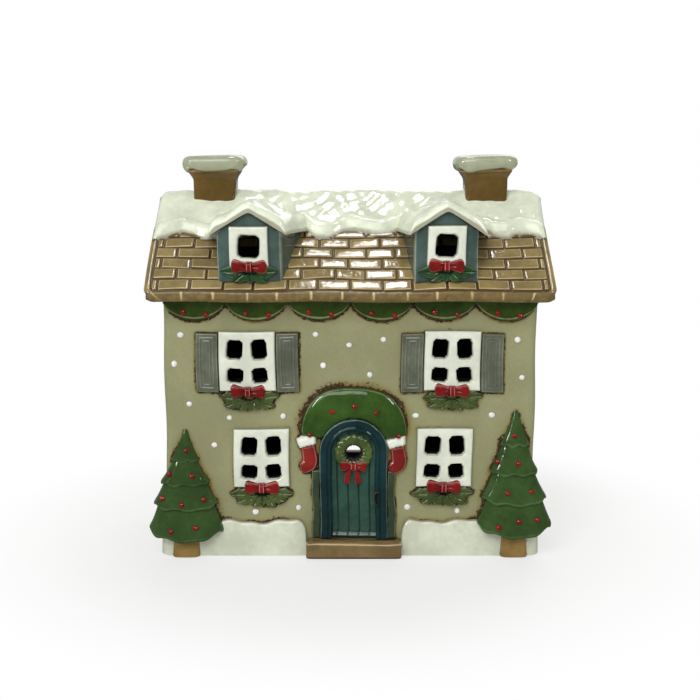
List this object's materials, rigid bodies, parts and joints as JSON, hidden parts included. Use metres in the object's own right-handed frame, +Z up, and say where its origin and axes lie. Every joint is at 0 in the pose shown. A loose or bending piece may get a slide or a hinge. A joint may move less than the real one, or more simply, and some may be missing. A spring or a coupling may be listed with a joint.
{
  "type": "ceramic christmas village house",
  "caption": "Hollow glazed ceramic Christmas house for a tealight, with a snowy tiled roof, dormers, chimneys, garlands, shuttered windows, an arched door and fir trees.",
  "frame": {"origin": "centre of the underside of the walls and floor", "axes": "+Z up, -Y the front with the door, +X to the right seen from the front"},
  "size_m": [0.1738, 0.1015, 0.1721],
  "materials": {
    "wall_glaze": "glossy sage glaze with a brown wash",
    "roof_tile_glaze": "glossy tan brown glaze",
    "snow_glaze": "glossy warm white glaze",
    "chimney_glaze": "glossy dark brown glaze",
    "dormer_glaze": "glossy blue grey glaze",
    "window_white_glaze": "glossy white glaze with a brown wash",
    "shutter_glaze": "glossy grey green glaze",
    "bow_red_glaze": "glossy red glaze",
    "holly_glaze": "glossy dark green glaze",
    "garland_glaze": "glossy dark green glaze",
    "wreath_glaze": "glossy green glaze",
    "berry_glaze": "glossy red glaze",
    "door_glaze": "glossy dark green glaze",
    "door_frame_glaze": "glossy dark blue green glaze",
    "jamb_glaze": "glossy dark olive glaze",
    "latch_glaze": "glossy black glaze",
    "step_glaze": "glossy brown glaze",
    "stocking_glaze": "glossy red glaze with a white cuff",
    "tree_glaze": "glossy green glaze with a brown trunk",
    "bare_clay": "unglazed, matt",
    "tealight_aluminium": "thin drawn cup",
    "tealight_wax": "paraffin wax",
    "tealight_wick": "waxed cotton"
  },
  "bodies": {
    "house": {"arch_garland": "garland_glaze", "berries": "berry_glaze", "door_frame": "door_frame_glaze", "door_jambs": "jamb_glaze", "door_latch": "latch_glaze", "door_panel": "door_glaze", "doorstep": "step_glaze", "eave_garland": "garland_glaze", "floor_slab": "bare_clay", "front_roof": "roof_tile_glaze", "front_wall": "wall_glaze", "left_chimney": "chimney_glaze", "left_chimney_snow": "snow_glaze", "left_dormer": "dormer_glaze", "left_dormer_bow": "bow_red_glaze", "left_dormer_holly": "holly_glaze", "left_dormer_snow": "snow_glaze", "left_dormer_window": "window_white_glaze", "left_gable_wall": "wall_glaze", "left_snow_drift": "snow_glaze", "left_stocking": "stocking_glaze", "left_tree": "tree_glaze", "lower_left_bow": "bow_red_glaze", "lower_left_holly": "holly_glaze", "lower_left_window": "window_white_glaze", "lower_right_bow": "bow_red_glaze", "lower_right_holly": "holly_glaze", "lower_right_window": "window_white_glaze", "rear_roof": "roof_tile_glaze", "rear_wall": "wall_glaze", "right_chimney": "chimney_glaze", "right_chimney_snow": "snow_glaze", "right_dormer": "dormer_glaze", "right_dormer_bow": "bow_red_glaze", "right_dormer_holly": "holly_glaze", "right_dormer_snow": "snow_glaze", "right_dormer_window": "window_white_glaze", "right_gable_wall": "wall_glaze", "right_snow_drift": "snow_glaze", "right_stocking": "stocking_glaze", "right_tree": "tree_glaze", "roof_snow": "snow_glaze", "snow_dots": "snow_glaze", "upper_left_bow": "bow_red_glaze", "upper_left_holly": "holly_glaze", "upper_left_inner_shutter": "shutter_glaze", "upper_left_outer_shutter": "shutter_glaze", "upper_left_window": "window_white_glaze", "upper_right_bow": "bow_red_glaze", "upper_right_holly": "holly_glaze", "upper_right_inner_shutter": "shutter_glaze", "upper_right_outer_shutter": "shutter_glaze", "upper_right_window": "window_white_glaze", "wreath": "wreath_glaze", "wreath_bow": "bow_red_glaze"},
    "tealight": {"tealight_cup": "tealight_aluminium", "tealight_wax": "tealight_wax", "tealight_wick": "tealight_wick"}
  },
  "joints": [
    {"name": "tealight_lift", "type": "slide", "parent": "house", "child": "tealight", "axis": [0, 0.8271, 0.5621], "range_m": [0, 0.1]}
  ]
}
